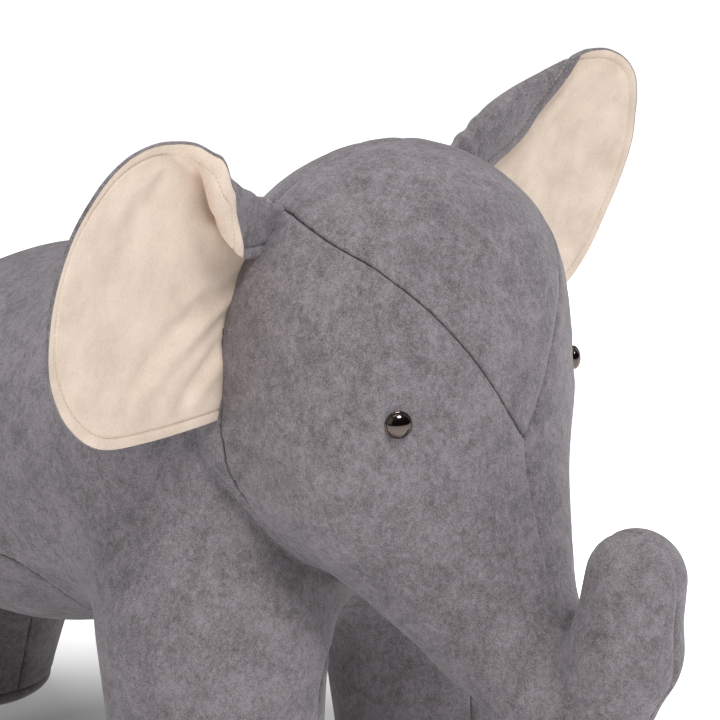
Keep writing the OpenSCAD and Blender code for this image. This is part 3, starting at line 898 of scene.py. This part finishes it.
def ear_edge(side, count):
    """Evenly spaced points round an ear's cut, and the way in from each."""
    edge = closed_curve(ear_cut(side), count)
    chord = np.roll(edge, -1, axis=0) - np.roll(edge, 1, axis=0)
    tangent = chord / np.linalg.norm(chord, axis=1)[:, None]
    return edge, np.stack([-tangent[:, 1], tangent[:, 0]], 1)


def ear_rings(side, lining):
    """Rings of the ear's grid, from its edge, or the lining's, to its middle, with their insets."""
    count = 300
    edge, inward = ear_edge(side, count)
    # Along the root, the rings run to the middle, so that they don't cross at its corners.
    middle = (EAR_MIDDLE - edge) / np.linalg.norm(EAR_MIDDLE - edge, axis=1)[:, None]
    root = np.clip(1.2 - segment_distance(edge, *ROOT_LINE)[0] / 12, 0, 1)[:, None]
    inward = inward * (1 - root) + middle * root
    start = lining_start(edge) if lining else np.zeros(count)
    insets = [start + step * (1 - start / BORDER_RINGS[-1]) for step in BORDER_RINGS]
    rings = [(edge + inward * inset[:, None], inset) for inset in insets]
    last, inset = rings[-1]
    reach = np.linalg.norm(last - EAR_MIDDLE, axis=1)
    inner = 44
    for k in range(1, inner):
        share = 1 - (k / inner) ** 1.25
        rings.append((EAR_MIDDLE + (last - EAR_MIDDLE) * share, inset + reach * (1 - share)))
    lips = [(edge + inward * (share * lining_start(edge))[:, None], share * lining_start(edge))
            for share in (1, 0.5)]
    return rings, reach, lips


def grid_faces(rings, count, flip):
    """Faces between rings of points, closed by one last point in the middle."""
    faces = []
    for r in range(rings - 1):
        for i in range(count):
            j = (i + 1) % count
            quad = [r * count + i, r * count + j, (r + 1) * count + j, (r + 1) * count + i]
            faces.append(quad[::-1] if flip else quad)
    last, tip = (rings - 1) * count, rings * count
    for i in range(count):
        tri = [last + i, last + (i + 1) % count, tip]
        faces.append(tri[::-1] if flip else tri)
    return faces


def ear_layer(rings, reach):
    """Every point of an ear's grid and its inset, with the middle last."""
    cut = np.concatenate([r for r, _ in rings] + [EAR_MIDDLE[None]])
    return cut, np.concatenate([i for _, i in rings] + [[float(reach.mean())]])


def make_ear(side, sign):
    mirror = point(sign, 1, 1)
    # The lining: the front layer, from inside the rounded edge.
    rings, reach, _ = ear_rings(side, True)
    count = len(rings[0][0])
    cut, inset = ear_layer(rings, reach)
    front = ear_place(cut, ear_half_thickness(inset, cut, side, True), side) * mirror
    lining = new_object(f"ear_{side}_lining", front, grid_faces(len(rings), count, sign < 0), CREAM)
    # The back: the rear layer and the rounded edge.
    rings, reach, lips = ear_rings(side, False)
    cut, inset = ear_layer(rings, reach)
    rear = ear_place(cut, -ear_half_thickness(inset, cut, side, False), side)
    rolled = [ear_place(at, ear_half_thickness(depth, at, side, True) + LIP_OVER, side) for at, depth in lips]
    points = np.concatenate([*rolled, rear]) * mirror
    back = new_object(f"ear_{side}_back", points, grid_faces(len(rings) + 2, count, sign > 0), GREY)
    thicken(lining, EAR_CLOTH_T)
    thicken(back, EAR_CLOTH_T)
    stitches = topstitches(side, sign)
    for obj in (lining, back, stitches):
        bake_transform(obj)
    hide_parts(f"ear_lining_{side}", f"ear_wadding_{side}")
    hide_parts(f"ear_back_{side}")


def stitch_shape(a, b, normal, radius):
    """A short run of thread from a to b that dips in at both ends."""
    along = b - a
    length = np.linalg.norm(along)
    along = along / length
    across = np.cross(normal, along)
    across = across / np.linalg.norm(across)
    verts, faces = [], []
    profile = [(0, 0.35, -1.1), (0.18, 1, 0.1), (0.5, 1, 0.35), (0.82, 1, 0.1), (1, 0.35, -1.1)]
    corners = 6
    for t, width, height in profile:
        centre = a + along * length * t + normal * radius * height
        for k in range(corners):
            angle = 2 * math.pi * k / corners
            verts.append(centre + radius * width * (math.cos(angle) * across + math.sin(angle) * normal))
    for r in range(len(profile) - 1):
        for k in range(corners):
            m = (k + 1) % corners
            faces.append([r * corners + k, r * corners + m, (r + 1) * corners + m, (r + 1) * corners + k])
    faces.append(list(range(corners))[::-1])
    faces.append([(len(profile) - 1) * corners + k for k in range(corners)])
    return verts, faces


def topstitches(side, sign):
    """The thread round an ear's border, on its lining side and on its back."""
    mirror = point(sign, 1, 1)
    edge, inward = ear_edge(side, 1200)
    line = edge + inward * BAND
    inset = np.full(len(line), BAND)
    free = line[:, 0] > -2             # no stitches inside the head
    verts, faces = [], []
    for face in (1, -1):
        thick = ear_half_thickness(inset, line, side, face > 0)
        seated = ear_place(line, face * thick, side) * mirror
        above = ear_place(line, face * (thick + 1), side) * mirror
        along = np.concatenate([[0], np.cumsum(np.linalg.norm(np.diff(seated, axis=0), axis=1))])
        for k in range(int(along[-1] / STITCH_PITCH)):
            a = np.array([np.interp(k * STITCH_PITCH, along, seated[:, m]) for m in range(3)])
            b = np.array([np.interp(k * STITCH_PITCH + STITCH_RUN, along, seated[:, m]) for m in range(3)])
            i = min(np.searchsorted(along, k * STITCH_PITCH + STITCH_RUN / 2), len(line) - 1)
            if not free[i]:
                continue
            normal = above[i] - seated[i]
            v, f = stitch_shape(a, b, normal / np.linalg.norm(normal), THREAD_R)
            faces += [[x + len(verts) for x in part] for part in f]
            verts += v
    return new_object(f"ear_{side}_topstitch", np.array(verts), faces, CREAM_THREAD)


# ------------------------------------------------------------------ eyes

def make_eye(side):
    """A polished dome with a thin rolled rim, on its seat."""
    seat, normal = eye_seat[side]
    u = np.cross(point(0, 0, 1), normal)
    u = u / np.linalg.norm(u)
    v = np.cross(normal, u)
    profile = [(EYE_R - 1.2, -1.6), (EYE_R - 0.2, -1.1), (EYE_R, -0.5), (EYE_R - 0.05, 0.0),
               (EYE_R - 0.35, 0.32), (EYE_R - 0.6, 0.42)]
    dome_r, dome_low = profile[-1]
    for k in range(1, 13):
        angle = math.radians(90 * k / 13)
        profile.append((dome_r * math.cos(angle), dome_low + (EYE_HEIGHT - dome_low) * math.sin(angle)))
    count, sunk = 64, 0.2
    verts = [seat + normal * (h - sunk) + r * (math.cos(2 * math.pi * k / count) * u
                                              + math.sin(2 * math.pi * k / count) * v)
             for r, h in profile for k in range(count)]
    verts.append(seat + normal * (EYE_HEIGHT - sunk))
    obj = new_object(f"eye_{side}_dome", np.array(verts), grid_faces(len(profile), count, False), NICKEL)
    bm = bmesh.new()
    bm.from_mesh(obj.data)
    bmesh.ops.holes_fill(bm, edges=[e for e in bm.edges if e.is_boundary], sides=0)
    bmesh.ops.recalc_face_normals(bm, faces=bm.faces)
    bm.to_mesh(obj.data)
    bm.free()
    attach(obj, "animal")
    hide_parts(f"eye_{side}")


# ------------------------------------------------------------------ tail

tail_low, tail_high = box("tail_cover")
TAIL_R = 8.5
tail_root = np.array(joints["tail_swing"]["pos_m"]) / MM
tail_bend = tail_root + point(0, 12, -35)
tail_tip = point(0, tail_high[1] - 7.5, tail_low[2] + 7.5)
tail_start = tail_root + point(0, -10, 3)


def tail_field(p):
    d = smooth_min(round_cone(p, tail_start, tail_root, TAIL_R + 1.5, TAIL_R + 0.5),
                   round_cone(p, tail_root, tail_bend, TAIL_R + 0.5, TAIL_R), 4)
    return smooth_min(d, round_cone(p, tail_bend, tail_tip, TAIL_R, 7.0), 4)


def make_tail():
    low = np.minimum(tail_low, tail_start - 12) - 4
    high = np.maximum(tail_high, tail_start + 12) + 4
    verts, quads = surface_net(tail_field, low, high, 1.6)
    verts = relax(tail_field, verts, quads, 5)
    s = np.abs(off_seam(centre_seam, tail_field, verts)[0])
    rise = -0.8 * bell(s, 0.9) + 0.15 * bell(s - 3, 2)
    rise = rise + 0.35 * noise(verts, 9, 13) + 0.2 * noise(verts, 4, 14)
    rings = np.sin((verts[:, 2] - tail_root[2]) * 0.9) * bell(np.linalg.norm(verts - tail_root, axis=1), 14)
    verts = verts + normals(tail_field, verts) * (rise + 0.35 * rings)[:, None]
    tail = new_object("tail", verts, quads, GREY)
    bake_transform(tail)
    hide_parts("tail_cover", "tail_stuffing")


# ------------------------------------------------------------------ build

STANDS_FOR = {
    "crown_gusset": ["crown_gusset", "head_stuffing"],
    "head_side_right": ["head_side_cover_right", "trunk_stuffing"],
    "head_side_left": ["head_side_cover_left"],
    "head_back_right": ["head_back_cover_right"],
    "head_back_left": ["head_back_cover_left"],
    "body_cover": ["body_cover", "body_foam_right", "body_foam_left", "leg_foam_front_right",
                   "leg_foam_front_left", "leg_foam_rear_right", "leg_foam_rear_left"],
    "belly_cover": ["belly_cover"],
    **{f"sole_{end}_{side}": [f"sole_{end}_{side}"] for end in ENDS for side, _ in SIDES},
}

for make in (make_head, make_body):
    cover_verts, cover_panels = make()
    for panel_name, panel_faces in cover_panels.items():
        piece = panel(panel_name + "_panel", cover_verts, panel_faces, GREY)
        thicken(piece, COVER_T)
        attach(piece, "animal")
        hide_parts(*STANDS_FOR[panel_name])

for ear_side, ear_sign in SIDES:
    make_ear(ear_side, ear_sign)
    make_eye(ear_side)
make_tail()

FRAME_LOOKS = {"seat": PLY, "front": PLY, "rear": PLY, "neck": PLY, "leg": BEECH}
for name, obj in frame["nodes"].items():
    if not obj.hide_render:
        look = FRAME_LOOKS.get(name.split("_")[0], ZINC)
        obj.data.materials.clear()
        obj.data.materials.append(look)


# ------------------------------------------------------------------ studio

MIDDLE_OF_TOY = Vector((0, -0.05, 0.3))


def area_light(name, place, size, power):
    data = bpy.data.lights.new(name, "AREA")
    data.shape = "RECTANGLE"
    data.size, data.size_y = size
    data.energy = power
    obj = bpy.data.objects.new(name, data)
    bpy.context.scene.collection.objects.link(obj)
    obj.location = place
    obj.rotation_euler = (MIDDLE_OF_TOY - Vector(place)).to_track_quat("-Z", "Y").to_euler()


def make_floor():
    mat, tree, shader = material("studio_floor")
    at = node(tree, "ShaderNodeTexCoord").outputs["Object"]
    away = node(tree, "ShaderNodeVectorMath", [(at, "Vector")], operation="LENGTH").outputs["Value"]
    # Painted light: the floor glows like a lamp, near white far from the toy and faint near it. Its colour is
    # darker near the toy, a painted shade under it that also cuts the light it throws back up onto the toy.
    painted_floor_shade = ramp(tree, away, [(0.25, grey(0.50)), (0.50, grey(0.88))])
    painted_floor_glow = ramp(tree, away, [(0.25, grey(0.12)), (0.38, grey(0.50)), (0.52, grey(0.85))])
    dress(tree, shader, [(painted_floor_shade, "Base Color"), (painted_floor_glow, "Emission Color")], Roughness=0.9,
          Emission_Strength=1.0)
    bm = bmesh.new()
    bmesh.ops.create_circle(bm, cap_ends=True, radius=14, segments=64)
    mesh = bpy.data.meshes.new("floor")
    bm.to_mesh(mesh)
    bm.free()
    floor = bpy.data.objects.new("floor", mesh)
    floor.location.z = -0.0004
    bpy.context.scene.collection.objects.link(floor)
    mesh.materials.append(mat)


def make_world():
    world = bpy.data.worlds.new("studio")
    bpy.context.scene.world = world
    world.use_nodes = True
    tree = world.node_tree
    background = tree.nodes["Background"]
    direction = node(tree, "ShaderNodeTexCoord").outputs["Generated"]
    height = node(tree, "ShaderNodeSeparateXYZ", [(direction, "Vector")])
    sky = ramp(tree, height.outputs["Z"], [(0.0, grey(0.03)), (0.55, grey(0.05)), (0.90, grey(0.20)),
                                           (1.0, grey(0.50))])
    dress(tree, background, [(sky, "Color")], Strength=1.0)


AZIMUTH, ELEVATION = math.radians(-50), math.radians(17)
CAMERA_DISTANCE = 1.262
CAMERA_TARGET = Vector((0, -0.153, 0.383))


def make_camera():
    data = bpy.data.cameras.new("camera")
    data.lens, data.sensor_width = 110, 36
    camera = bpy.data.objects.new("camera", data)
    bpy.context.scene.collection.objects.link(camera)
    back = Vector((math.sin(AZIMUTH) * math.cos(ELEVATION), -math.cos(AZIMUTH) * math.cos(ELEVATION),
                   math.sin(ELEVATION)))
    camera.location = CAMERA_TARGET + back * CAMERA_DISTANCE
    camera.rotation_mode = "QUATERNION"
    camera.rotation_quaternion = (-back).to_track_quat("-Z", "Y")
    bpy.context.scene.camera = camera


make_floor()
make_world()
make_camera()
area_light("key", (-0.45, -1.35, 2.6), (0.9, 0.9), 46)
area_light("fill", (-2.2, 0.2, 1.5), (1.4, 1.8), 3)
area_light("rim", (1.9, -0.6, 1.4), (1.0, 1.8), 5)
area_light("top", (0.1, 0.7, 2.6), (1.8, 1.4), 25)
bpy.context.scene.view_settings.view_transform = "Standard"
